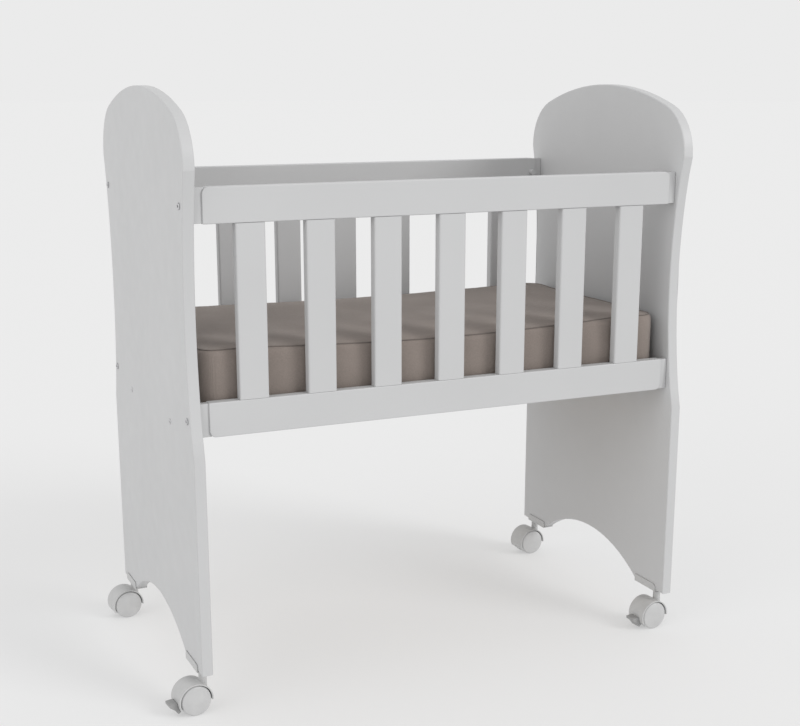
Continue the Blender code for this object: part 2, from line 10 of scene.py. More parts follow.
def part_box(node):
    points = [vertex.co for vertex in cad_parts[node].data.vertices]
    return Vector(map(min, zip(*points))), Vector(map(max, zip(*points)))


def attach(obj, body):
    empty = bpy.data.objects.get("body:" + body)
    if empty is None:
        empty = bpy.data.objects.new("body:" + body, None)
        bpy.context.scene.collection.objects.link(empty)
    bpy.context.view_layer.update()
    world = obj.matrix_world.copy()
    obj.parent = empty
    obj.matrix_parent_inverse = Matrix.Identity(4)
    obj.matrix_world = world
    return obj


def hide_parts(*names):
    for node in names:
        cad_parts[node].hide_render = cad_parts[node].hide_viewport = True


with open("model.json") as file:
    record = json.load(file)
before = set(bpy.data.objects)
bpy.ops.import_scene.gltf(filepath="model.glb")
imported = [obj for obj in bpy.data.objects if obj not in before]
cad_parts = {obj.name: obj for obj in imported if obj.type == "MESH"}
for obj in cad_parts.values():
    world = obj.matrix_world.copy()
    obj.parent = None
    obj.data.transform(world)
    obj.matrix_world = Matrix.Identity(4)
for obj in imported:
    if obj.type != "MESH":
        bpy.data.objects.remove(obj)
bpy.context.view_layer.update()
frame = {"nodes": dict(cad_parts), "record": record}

bl_info = {
    "name": "Baby Crib",
    "version": (1, 0, 0),
    "blender": (4, 5, 0),
    "location": "View3D > Sidebar > Crib",
    "description": "Finished surfaces for a small rolling crib with shaped end panels",
    "category": "Object",
}

SIDES = (("front", -1), ("back", 1))
ENDS = (("left", -1), ("right", 1))
LEVELS = ("top", "bottom")
CORNERS = tuple(f"{side}_{end}" for side, _ in SIDES for end, _ in ENDS)
SLAT_NUMBERS = range(1, 8)
SAME = 1e-4                  # two places closer than this are one


class CribSizes(bpy.types.PropertyGroup):
    panel_round: bpy.props.FloatProperty(
        name="Panel edge", description="Round-over on the end panels' edges", default=0.0022,
        unit="LENGTH")
    rail_round: bpy.props.FloatProperty(
        name="Rail edge", description="Round-over on the side rails' edges", default=0.0016,
        unit="LENGTH")
    rail_corner: bpy.props.FloatProperty(
        name="Rail corner", description="Radius of each rail's two outer corners", default=0.010,
        unit="LENGTH")
    rail_stop: bpy.props.FloatProperty(
        name="Rail stop", description="Gap between a rail's face and the end panel", default=0.013,
        unit="LENGTH")
    tenon_setback: bpy.props.FloatProperty(
        name="Tenon setback", description="End tenon behind the rail's faces", default=0.003,
        unit="LENGTH")
    tenon_trim: bpy.props.FloatProperty(
        name="Tenon trim", description="End tenon below the rail's edges", default=0.001,
        unit="LENGTH")
    slat_round: bpy.props.FloatProperty(
        name="Slat edge", description="Radius of a slat's long edges", default=0.003, unit="LENGTH")
    tongue_thick: bpy.props.FloatProperty(
        name="Tongue", description="Thickness of the tongue at a slat's ends", default=0.010,
        unit="LENGTH")
    tongue_setback: bpy.props.FloatProperty(
        name="Tongue setback", description="From a slat's side to its tongue", default=0.004,
        unit="LENGTH")
    fit_gap: bpy.props.FloatProperty(
        name="Fit gap", description="Gap round a tongue in its mortise", default=0.0003,
        unit="LENGTH")
    nut_inset: bpy.props.FloatProperty(
        name="Nut inset", description="Barrel nut's axis from the end panel", default=0.0225,
        unit="LENGTH")
    nut_radius: bpy.props.FloatProperty(
        name="Nut radius", description="Radius of a barrel nut", default=0.0048, unit="LENGTH")
    cleat_screw_y: bpy.props.FloatProperty(
        name="Cleat screws", description="Cleat screws from the middle of the panel", default=0.1225,
        unit="LENGTH")
    screw_radius: bpy.props.FloatProperty(
        name="Screw head", description="Radius of a cleat screw's head", default=0.0042,
        unit="LENGTH")
    seam_radius: bpy.props.FloatProperty(
        name="Seam", description="Radius of the mattress's piping", default=0.0012, unit="LENGTH")
    seam_sag: bpy.props.FloatProperty(
        name="Seam sag", description="How far the mattress's long edges sag in the middle",
        default=0.009, unit="LENGTH")
    mattress_swell: bpy.props.FloatProperty(
        name="Mattress swell", description="Farthest that the filled cover may stand out",
        default=0.005, unit="LENGTH")


class CribColours(bpy.types.PropertyGroup):
    paint: bpy.props.FloatVectorProperty(
        name="Paint", description="Lacquer on panels, rails and slats", default=(0.508, 0.51, 0.513),
        subtype="COLOR", size=3, min=0, max=1)
    fabric: bpy.props.FloatVectorProperty(
        name="Cover", description="Mattress cover", default=(0.262, 0.222, 0.198), subtype="COLOR",
        size=3, min=0, max=1)
    board: bpy.props.FloatVectorProperty(
        name="Board", description="Raw fibreboard", default=(0.46, 0.35, 0.24), subtype="COLOR",
        size=3, min=0, max=1)
    nylon: bpy.props.FloatVectorProperty(
        name="Fittings", description="Hoods, shoes and pedals", default=(0.49, 0.49, 0.488),
        subtype="COLOR", size=3, min=0, max=1)
    wheel: bpy.props.FloatVectorProperty(
        name="Wheels", description="Wheel nylon", default=(0.50, 0.50, 0.50), subtype="COLOR",
        size=3, min=0, max=1)
    steel: bpy.props.FloatVectorProperty(
        name="Steel", description="Zinc plate", default=(0.62, 0.62, 0.63), subtype="COLOR", size=3,
        min=0, max=1)
    floor: bpy.props.FloatVectorProperty(
        name="Floor", description="Studio floor", default=(0.40, 0.40, 0.40), subtype="COLOR",
        size=3, min=0, max=1)
    air: bpy.props.FloatVectorProperty(
        name="Surround", description="Light from all round", default=(0.83, 0.83, 0.83),
        subtype="COLOR", size=3, min=0, max=1)


# Selecting and finishing

def deselect():
    if bpy.context.mode != "OBJECT":
        bpy.ops.object.mode_set(mode="OBJECT")
    bpy.ops.object.select_all(action="DESELECT")


def hold(piece):
    """Only this piece is selected and active."""
    deselect()
    piece.select_set(True)
    bpy.context.view_layer.objects.active = piece


def edit(piece, kind="FACE"):
    hold(piece)
    bpy.ops.object.mode_set(mode="EDIT")
    bpy.ops.mesh.select_mode(type=kind)
    bpy.ops.mesh.select_all(action="DESELECT")


def pick_faces(piece, test):
    """Selects the faces that pass a test of (middle, normal), in edit mode."""
    mesh = bmesh.from_edit_mesh(piece.data)
    for face in mesh.faces:
        face.select_set(test(face.calc_center_median(), face.normal))
    mesh.select_flush_mode()
    bmesh.update_edit_mesh(piece.data)


def pick_edges(piece, test):
    """Selects the edges that pass a test of (first end, second end, edge), in edit mode."""
    mesh = bmesh.from_edit_mesh(piece.data)
    mesh.normal_update()
    for edge in mesh.edges:
        edge.select_set(test(edge.verts[0].co, edge.verts[1].co, edge))
    bmesh.update_edit_mesh(piece.data)


def upright(first, second, edge):
    return abs(first.x - second.x) < SAME and abs(first.y - second.y) < SAME


def leave_edit():
    bpy.ops.object.mode_set(mode="OBJECT")


def add_modifier(piece, kind, **settings):
    hold(piece)
    modifier = piece.modifiers.new(kind.lower(), kind)
    for key, value in settings.items():
        setattr(modifier, key, value)
    return modifier


def apply_modifier(piece, kind, **settings):
    modifier = add_modifier(piece, kind, **settings)
    bpy.ops.object.modifier_apply(modifier=modifier.name)


def round_edges(piece, width, segments=3, degrees=35):
    apply_modifier(piece, "BEVEL", width=width, segments=segments, limit_method="ANGLE",
                   angle_limit=math.radians(degrees), use_clamp_overlap=True)


def smooth(piece, degrees=35):
    hold(piece)
    bpy.ops.object.shade_smooth_by_angle(angle=math.radians(degrees))
    apply_modifier(piece, "WEIGHTED_NORMAL", keep_sharp=True, weight=60)


def cut(piece, *cutters):
    for cutter in cutters:
        apply_modifier(piece, "BOOLEAN", operation="DIFFERENCE", solver="EXACT", object=cutter)
        bpy.data.objects.remove(cutter, do_unlink=True)


def bake_place(piece):
    """Moves the object's place into its mesh."""
    hold(piece)
    bpy.ops.object.transform_apply(location=True, rotation=True, scale=True)
    return piece


def add_cube(name, low, high):
    low, high = Vector(low), Vector(high)
    deselect()
    bpy.ops.mesh.primitive_cube_add(size=1, location=(low + high) / 2, scale=high - low)
    piece = bpy.context.object
    piece.name = name
    return bake_place(piece)


def add_rod(name, radius, start, end, sides=32):
    start, end = Vector(start), Vector(end)
    deselect()
    turn = (end - start).to_track_quat("Z", "Y").to_euler()
    bpy.ops.mesh.primitive_cylinder_add(vertices=sides, radius=radius, depth=(end - start).length,
                                        location=(start + end) / 2, rotation=turn)
    piece = bpy.context.object
    piece.name = name
    return bake_place(piece)


def copy_piece(piece, name, place):
    """A copy with its own mesh, moved by a matrix."""
    twin = bpy.data.objects.new(name, piece.data.copy())
    bpy.context.scene.collection.objects.link(twin)
    twin.data.transform(place)
    return twin


def copy_node(node, name):
    """A merged copy of a CAD node, with its flat faces joined."""
    twin = bpy.data.objects.new(name, frame["nodes"][node].data.copy())
    bpy.context.scene.collection.objects.link(twin)
    hold(twin)
    bpy.ops.mesh.customdata_custom_splitnormals_clear()
    bpy.ops.object.mode_set(mode="EDIT")
    bpy.ops.mesh.select_all(action="SELECT")
    bpy.ops.mesh.remove_doubles(threshold=0.00002)
    bpy.ops.mesh.dissolve_limited(angle_limit=math.radians(0.4))
    leave_edit()
    return twin


def finish_piece(piece, body, look, slot, *nodes):
    piece.data.materials.clear()
    piece.data.materials.append(look)
    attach(piece, body)
    if nodes:
        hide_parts(*nodes)
    return piece


def body_of_node(node):
    for body, nodes in frame["record"]["behaviour"]["bodies"].items():
        if node in nodes:
            return body
    raise RuntimeError("no body holds " + node)


def middle(node):
    low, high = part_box(node)
    return (low + high) / 2


# Finishes

def start_look(name, **values):
    """A new material and a helper that adds nodes to it."""
    look = bpy.data.materials.new(name)
    look.use_nodes = True
    tree = look.node_tree
    shader = tree.nodes["Principled BSDF"]
    for socket, value in values.items():
        shader.inputs[socket.replace("_", " ")].default_value = value

    def add(kind, inputs=None, **settings):
        node = tree.nodes.new(kind)
        for key, value in settings.items():
            setattr(node, key, value)
        for key, value in (inputs or {}).items():
            if isinstance(value, bpy.types.NodeSocket):
                tree.links.new(value, node.inputs[key])
            else:
                node.inputs[key].default_value = value
        return node

    return look, tree, shader, add


def noise(add, place, scale, detail=2.0, rough=0.5, output="Fac"):
    node = add("ShaderNodeTexNoise", {"Vector": place, "Scale": scale, "Detail": detail, "Roughness": rough})
    return node.outputs[output]


def total(add, first, second):
    return add("ShaderNodeMath", {0: first, 1: second}, operation="ADD").outputs[0]


def shade(colour, share):
    return [share * channel for channel in colour]


def two_tone(tree, add, factor, colour, darker, lighter):
    """Mixes a colour between two shares of itself."""
    mix = add("ShaderNodeMix", data_type="RGBA")
    mix.inputs[6].default_value = (*shade(colour, darker), 1)
    mix.inputs[7].default_value = (*[min(1.0, channel) for channel in shade(colour, lighter)], 1)
    tree.links.new(factor, mix.inputs[0])
    return mix.outputs[2]


def spread(add, value, low=0, high=1, start=0.3, end=0.7):
    """Stretches the stretch of a pattern from start to end over low to high."""
    return add("ShaderNodeMapRange", {"Value": value, "From Min": start, "From Max": end, "To Min": low,
                                      "To Max": high}).outputs["Result"]


def bump(tree, add, shader, height, distance, strength):
    node = add("ShaderNodeBump", {"Height": height, "Distance": distance, "Strength": strength})
    tree.links.new(node.outputs["Normal"], shader.inputs["Normal"])


def paint_look(colour):
    """Satin lacquer, sprayed: a faint orange peel and a slow drift in tone."""
    look, tree, shader, add = start_look("white_paint", Specular_IOR_Level=0.4, Coat_Weight=0.08,
                                         Coat_Roughness=0.3)
    place = add("ShaderNodeTexCoord").outputs["Object"]
    drift = noise(add, place, scale=5.0, detail=3.0)
    base = two_tone(tree, add, spread(add, drift), colour, darker=0.985, lighter=1.012)
    tree.links.new(base, shader.inputs["Base Color"])
    cloud = noise(add, place, scale=38.0, detail=3.0)
    tree.links.new(spread(add, cloud, low=0.42, high=0.52), shader.inputs["Roughness"])
    peel = noise(add, place, scale=620.0)
    bump(tree, add, shader, peel, distance=0.00006, strength=0.6)
    return look


def fabric_look(name, colour, weave=0.0011):
    """Woven cover: crossed yarns, flecks and a soft nap."""
    look, tree, shader, add = start_look(name, Roughness=0.92, Specular_IOR_Level=0.2, Sheen_Weight=0.18,
                                         Sheen_Roughness=0.5)
    place = add("ShaderNodeTexCoord").outputs["Object"]
    warp = noise(add, place, scale=60.0, output="Color")
    shift = add("ShaderNodeVectorMath", {0: warp, 3: 0.0008}, operation="SCALE").outputs[0]
    bent = add("ShaderNodeVectorMath", {0: place, 1: shift}, operation="ADD").outputs[0]
    scale = 2 * math.pi / (20 * weave)     # at a scale of 1 a wave repeats every 2 pi / 20
    yarns = [add("ShaderNodeTexWave", {"Vector": bent, "Scale": scale}, wave_type="BANDS",
                 bands_direction=axis).outputs["Fac"] for axis in "XYZ"]
    cloth = total(add, total(add, yarns[0], yarns[1]), yarns[2])
    fleck = noise(add, place, scale=700.0, rough=0.6)
    drift = noise(add, place, scale=9.0, detail=3.0)
    tone = spread(add, total(add, fleck, drift), start=0.75, end=1.25)
    base = two_tone(tree, add, tone, colour, darker=0.88, lighter=1.10)
    tree.links.new(base, shader.inputs["Base Color"])
    bump(tree, add, shader, total(add, cloth, fleck), distance=0.00022, strength=0.7)
    return look


def board_look(colour):
    """Raw fibreboard: fine mixed fibres and darker flecks."""
    look, tree, shader, add = start_look("board", Roughness=0.82, Specular_IOR_Level=0.25)
    place = add("ShaderNodeTexCoord").outputs["Object"]
    fibres = noise(add, place, scale=420.0, detail=4.0, rough=0.65)
    flecks = add("ShaderNodeTexVoronoi", {"Vector": place, "Scale": 260.0}, feature="F1").outputs["Distance"]
    both = total(add, fibres, flecks)
    base = two_tone(tree, add, spread(add, both, start=0.6, end=1.3), colour, darker=0.72, lighter=1.18)
    tree.links.new(base, shader.inputs["Base Color"])
    bump(tree, add, shader, both, distance=0.0002, strength=0.5)
    return look


def nylon_look(name, colour, rough):
    """Moulded nylon with a fine spark-eroded grain."""
    look, tree, shader, add = start_look(name, Specular_IOR_Level=0.5)
    place = add("ShaderNodeTexCoord").outputs["Object"]
    drift = noise(add, place, scale=60.0)
    base = two_tone(tree, add, spread(add, drift), colour, darker=0.95, lighter=1.03)
    tree.links.new(base, shader.inputs["Base Color"])
    tree.links.new(spread(add, drift, low=rough - 0.05, high=rough + 0.07), shader.inputs["Roughness"])
    grain = noise(add, place, scale=2600.0)
    bump(tree, add, shader, grain, distance=0.00003, strength=0.6)
    return look


def steel_look(colour):
    """Bright zinc plate with faint turned marks."""
    look, tree, shader, add = start_look("zinc_steel", Metallic=1.0)
    place = add("ShaderNodeTexCoord").outputs["Object"]
    cloud = noise(add, place, scale=300.0, detail=3.0)
    base = two_tone(tree, add, spread(add, cloud), colour, darker=0.86, lighter=1.08)
    tree.links.new(base, shader.inputs["Base Color"])
    tree.links.new(spread(add, cloud, low=0.24, high=0.42), shader.inputs["Roughness"])
    marks = noise(add, place, scale=3500.0, detail=1.0)
    bump(tree, add, shader, marks, distance=0.00002, strength=0.6)
    return look


def floor_look(colour):
    """A matt floor with a little light of its own, like a lit studio table."""
    look, _, shader, _ = start_look("studio_floor", Roughness=0.95, Specular_IOR_Level=0.0,
                                    Emission_Strength=0.405)
    shader.inputs["Base Color"].default_value = (*colour, 1)
    shader.inputs["Emission Color"].default_value = (1, 1, 1, 1)
    return look


def looks():
    """The finishes, made once and then shared."""
    colours = bpy.context.scene.crib_colours
    made = bpy.data.materials
    makers = {
        "white_paint": lambda: paint_look(colours.paint),
        "taupe_fabric": lambda: fabric_look("taupe_fabric", colours.fabric),
        # painted shade: the cover fabric at 0.62 of its tone, so the piping paints a dark shade line along
        # the seam
        "painted_shade_piping": lambda: fabric_look("painted_shade_piping", shade(colours.fabric, 0.62), weave=0.0007),
        "board": lambda: board_look(colours.board),
        "white_nylon": lambda: nylon_look("white_nylon", colours.nylon, rough=0.40),
        "grey_nylon": lambda: nylon_look("grey_nylon", colours.wheel, rough=0.36),
        # painted shade: the fittings' nylon at 0.62 of its tone, standing in for the shade under the brake
        # pedals
        "painted_shade_nylon": lambda: nylon_look("painted_shade_nylon", shade(colours.nylon, 0.62), rough=0.45),
        "zinc_steel": lambda: steel_look(colours.steel),
    }
    return {name: made[name + ".look"] if name + ".look" in made else keep(name, make())
            for name, make in makers.items()}


def keep(name, look):
    look.name = name + ".look"
    return look


# Panels, rails and slats

HOLE_CLEARANCE = 0.008       # edges nearer to a bolt's axis are left sharp
SHARP = 1.0                  # angle of an outline's edge, in radians, or more
TENON_ROOT = 0.004           # how far a tenon reaches into its rail
BORE_GAP = 0.0002            # round a barrel nut
BORE_PAST_BOLT = 0.004       # blind end of a nut's bore beyond the bolt's axis
CUTTER_OUT = 0.01            # how far a cutter stands outside the piece


class CRIB_OT_panels(bpy.types.Operator):
    """The two shaped end panels, with round-over edges"""
    bl_idname = "crib.panels"
    bl_label = "End Panels"

    def execute(self, context):
        sizes = context.scene.crib_sizes
        for end, _ in ENDS:
            node = end + "_end_panel"
            low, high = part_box(node)
            holes = [middle(f"{side}_{level}_{end}_bolt") for side, _ in SIDES for level in LEVELS]
            panel = copy_node(node, end + "_panel")
            edit(panel, "EDGE")

            def on_outline(first, second, edge):
                on_face = any(abs(first.x - x) < SAME and abs(second.x - x) < SAME for x in (low.x, high.x))
                if not on_face or len(edge.link_faces) != 2 or edge.calc_face_angle(0) < SHARP:
                    return False
                return all((first.yz - hole.yz).length > HOLE_CLEARANCE for hole in holes)

            pick_edges(panel, on_outline)
            bpy.ops.mesh.bevel(offset=sizes.panel_round, segments=4, affect="EDGES")
            leave_edit()
            smooth(panel, 50)
            finish_piece(panel, "root", looks()["white_paint"], "white_paint", node)
        return {"FINISHED"}


class CRIB_OT_rails(bpy.types.Operator):
    """The four side rails, mortised for the slats and bored for bolts and barrel nuts"""
    bl_idname = "crib.rails"
    bl_label = "Side Rails"

    def execute(self, context):
        sizes = context.scene.crib_sizes
        for side, way in SIDES:
            for level in LEVELS:
                self.make_rail(side, way, level, sizes)
        return {"FINISHED"}

    def make_rail(self, side, way, level, sizes):
        node = f"{side}_{level}_rail"
        low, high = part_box(node)
        left, right = low.x + sizes.rail_stop, high.x - sizes.rail_stop
        rail = add_cube(node + "_board", (left, low.y, low.z), (right, high.y, high.z))
        outer_z = high.z if level == "top" else low.z
        edit(rail, "EDGE")
        pick_edges(rail, lambda first, second, edge: abs(first.z - outer_z) < SAME
                   and abs(second.z - outer_z) < SAME and abs(first.x - second.x) < SAME)
        bpy.ops.mesh.bevel(offset=sizes.rail_corner, segments=8, affect="EDGES")
        leave_edit()
        round_edges(rail, sizes.rail_round)

        inner_z = low.z if level == "top" else high.z
        gap = sizes.fit_gap
        half_thick = sizes.tongue_thick / 2 + gap
        for number in SLAT_NUMBERS:
            slat_low, slat_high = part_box(f"{side}_slat_{number}")
            half_wide = (slat_high.x - slat_low.x) / 2 - sizes.tongue_setback + gap
            centre = (slat_low + slat_high) / 2
            deep = slat_high.z + gap if level == "top" else slat_low.z - gap
            out = 2 * inner_z - deep
            cut(rail, add_cube("slot", (centre.x - half_wide, centre.y - half_thick, min(deep, out)),
                               (centre.x + half_wide, centre.y + half_thick, max(deep, out))))

        trim = sizes.tenon_trim
        setback = sizes.tenon_setback
        tenons = []
        for end, outward in ENDS:
            wall = low.x if outward < 0 else high.x
            root = wall - outward * (sizes.rail_stop + TENON_ROOT)
            tenon = add_cube("tenon", (min(wall, root), low.y + setback, low.z + trim),
                             (max(wall, root), high.y - setback, high.z - trim))
            round_edges(tenon, 0.0008, 2)
            tenons.append(tenon)
        hold(rail)
        for tenon in tenons:
            tenon.select_set(True)
        bpy.ops.object.join()

        for end, outward in ENDS:
            wall = low.x if outward < 0 else high.x
            nut_x = wall - outward * sizes.nut_inset
            bolt = middle(f"{side}_{level}_{end}_bolt")
            inner_y = low.y if way > 0 else high.y
            blind = bolt.y + way * BORE_PAST_BOLT
            cut(rail, add_rod("bore", sizes.nut_radius + BORE_GAP,
                              (nut_x, inner_y - way * CUTTER_OUT, bolt.z), (nut_x, blind, bolt.z)))
        smooth(rail, 30)
        finish_piece(rail, "root", looks()["white_paint"], "white_paint", node)


class CRIB_OT_slats(bpy.types.Operator):
    """Fourteen slats with soft long edges"""
    bl_idname = "crib.slats"
    bl_label = "Slats"

    def execute(self, context):
        sizes = context.scene.crib_sizes
        low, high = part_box("front_slat_1")
        centre = (low + high) / 2
        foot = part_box("front_bottom_rail")[1].z + sizes.fit_gap
        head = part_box("front_top_rail")[0].z - sizes.fit_gap
        first = add_cube("front_slat_1_stave", (low.x, low.y, foot), (high.x, high.y, head))
        edit(first, "EDGE")
        pick_edges(first, upright)
        bpy.ops.mesh.bevel(offset=sizes.slat_round, segments=6, affect="EDGES")
        leave_edit()
        half_thick = sizes.tongue_thick / 2
        tongue = add_cube("tongue", (low.x + sizes.tongue_setback, centre.y - half_thick, low.z),
                          (high.x - sizes.tongue_setback, centre.y + half_thick, high.z))
        apply_modifier(first, "BOOLEAN", operation="UNION", solver="EXACT", object=tongue)
        bpy.data.objects.remove(tongue, do_unlink=True)
        smooth(first, 40)
        for side, _ in SIDES:
            for number in SLAT_NUMBERS:
                node = f"{side}_slat_{number}"
                move = middle(node) - centre
                if move.length > SAME:
                    slat = copy_piece(first, node + "_stave", Matrix.Translation(move))
                    finish_piece(slat, "root", looks()["white_paint"], "white_paint", node)
        finish_piece(first, "root", looks()["white_paint"], "white_paint", "front_slat_1")
        return {"FINISHED"}


class CRIB_OT_deck(bpy.types.Operator):
    """The board under the mattress and the two cleats that carry it"""
    bl_idname = "crib.deck"
    bl_label = "Board and Cleats"

    def execute(self, context):
        for node, look, edge_radius in (("mattress_board", "board", 0.0008),
                                        ("left_board_cleat", "white_paint", 0.0015),
                                        ("right_board_cleat", "white_paint", 0.0015)):
            low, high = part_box(node)
            piece = add_cube(node + "_plank", low, high)
            round_edges(piece, edge_radius)
            smooth(piece, 40)
            finish_piece(piece, "root", looks()[look], look, node)
        return {"FINISHED"}


# Fasteners

SHANK_RADIUS = 0.003
SOCKET_RADIUS = 0.0024       # of a bolt's hexagon socket, to its corners
SOCKET_DEPTH = 0.0022
NUT_LENGTH = 0.008
NUT_RECESS = 0.0045          # a barrel nut's end below the rail's inner face
THREAD_BELOW = 0.0045        # its cross bore below that end
SLOT_HALF = 0.0007           # half the width of its screwdriver slot
SLOT_DEPTH = 0.0012
SCREW_HEIGHT = 0.0013        # a pan head above the panel
SCREW_SEAT = 0.0004          # and sunk into it
CROSS_REACH = 0.0022         # half the length of its cross recess
CROSS_HALF = 0.00045         # half the width of the recess
CROSS_FLOOR = 0.0003


class CRIB_OT_hardware(bpy.types.Operator):
    """Connector bolts, barrel nuts and cleat screws"""
    bl_idname = "crib.hardware"
    bl_label = "Bolts, Nuts and Screws"

    def execute(self, context):
        sizes = context.scene.crib_sizes
        steel = looks()["zinc_steel"]
        bolt = self.make_bolt()
        nut = self.make_nut(sizes.nut_radius)
        screw = self.make_screw(sizes.screw_radius)
        for end, outward in ENDS:
            panel_low, panel_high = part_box(end + "_end_panel")
            face_x = panel_low.x if outward < 0 else panel_high.x
            turn = Matrix.Rotation(outward * math.pi / 2, 4, "Y")
            for side, way in SIDES:
                for level in LEVELS:
                    node = f"{side}_{level}_{end}_bolt"
                    centre = middle(node)
                    place = Matrix.Translation((face_x, centre.y, centre.z)) @ turn
                    screwed = copy_piece(bolt, node + "_screwed", place)
                    finish_piece(screwed, "root", steel, "zinc_steel", node)
                    rail_low, rail_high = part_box(f"{side}_{level}_rail")
                    wall = rail_low.x if outward < 0 else rail_high.x
                    inner_y = rail_low.y if way > 0 else rail_high.y
                    seat = (wall - outward * sizes.nut_inset, inner_y + way * NUT_RECESS, centre.z)
                    place = Matrix.Translation(seat) @ Matrix.Rotation(way * math.pi / 2, 4, "X")
                    barrel = copy_piece(nut, f"{side}_{level}_{end}_barrel_nut", place)
                    finish_piece(barrel, "root", steel, "zinc_steel")
            cleat = middle(end + "_board_cleat")
            for side, way in SIDES:
                place = Matrix.Translation((face_x, way * sizes.cleat_screw_y, cleat.z)) @ turn
                driven = copy_piece(screw, f"{side}_{end}_cleat_screw", place)
                finish_piece(driven, "root", steel, "zinc_steel")
        for pattern in (bolt, nut, screw):
            bpy.data.objects.remove(pattern, do_unlink=True)
        return {"FINISHED"}

    def make_bolt(self):
        """Head up along Z on the XY plane, with a hexagon socket."""
        low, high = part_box("front_top_left_bolt")
        radius = (high.z - low.z) / 2
        face_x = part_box("left_end_panel")[0].x
        proud = face_x - low.x
        reach = high.x - face_x
        under = 0.0002
        head = add_rod("bolt_pattern", radius, (0, 0, under), (0, 0, proud), 48)
        edit(head)
        pick_faces(head, lambda centre, normal: normal.z < -0.9)
        bpy.ops.mesh.inset(thickness=radius - SHANK_RADIUS)
        bpy.ops.mesh.extrude_region_move(TRANSFORM_OT_translate={"value": (0, 0, -reach)})
        leave_edit()
        round_edges(head, 0.0005)
        cut(head, add_rod("key", SOCKET_RADIUS, (0, 0, proud - SOCKET_DEPTH), (0, 0, 2 * proud), 6))
        smooth(head, 35)
        return head

    def make_nut(self, radius):
        """A barrel nut hanging from the XY plane, with a slot in its top end and a cross bore along X."""
        nut = add_rod("nut_pattern", radius, (0, 0, -NUT_LENGTH), (0, 0, 0), 40)
        round_edges(nut, 0.0004, 2)
        cut(nut, add_rod("thread", SHANK_RADIUS, (-CUTTER_OUT, 0, -THREAD_BELOW),
                         (CUTTER_OUT, 0, -THREAD_BELOW), 24),
            add_cube("slot", (-SLOT_HALF, -CUTTER_OUT, -SLOT_DEPTH), (SLOT_HALF, CUTTER_OUT, CUTTER_OUT)))
        smooth(nut, 35)
        return nut

    def make_screw(self, radius):
        """A pan head on the XY plane with a cross recess."""
        screw = add_rod("screw_pattern", radius, (0, 0, -SCREW_SEAT), (0, 0, SCREW_HEIGHT), 40)
        round_edges(screw, 0.0008, 4)
        for along, across in ((CROSS_REACH, CROSS_HALF), (CROSS_HALF, CROSS_REACH)):
            cut(screw, add_cube("slot", (-along, -across, CROSS_FLOOR), (along, across, CUTTER_OUT)))
        smooth(screw, 35)
        return screw


# Mattress

PAD_CORNER = 0.028           # before the cover swells
PAD_EDGE = 0.007
PAD_MESH = 0.007             # size of the cover's mesh
SEAM_CORNER = 0.030
SEAM_DROP = 0.0058           # seam below the top
SEAM_STEP = 0.012            # longest step along the seam
CORNER_STEPS = 8


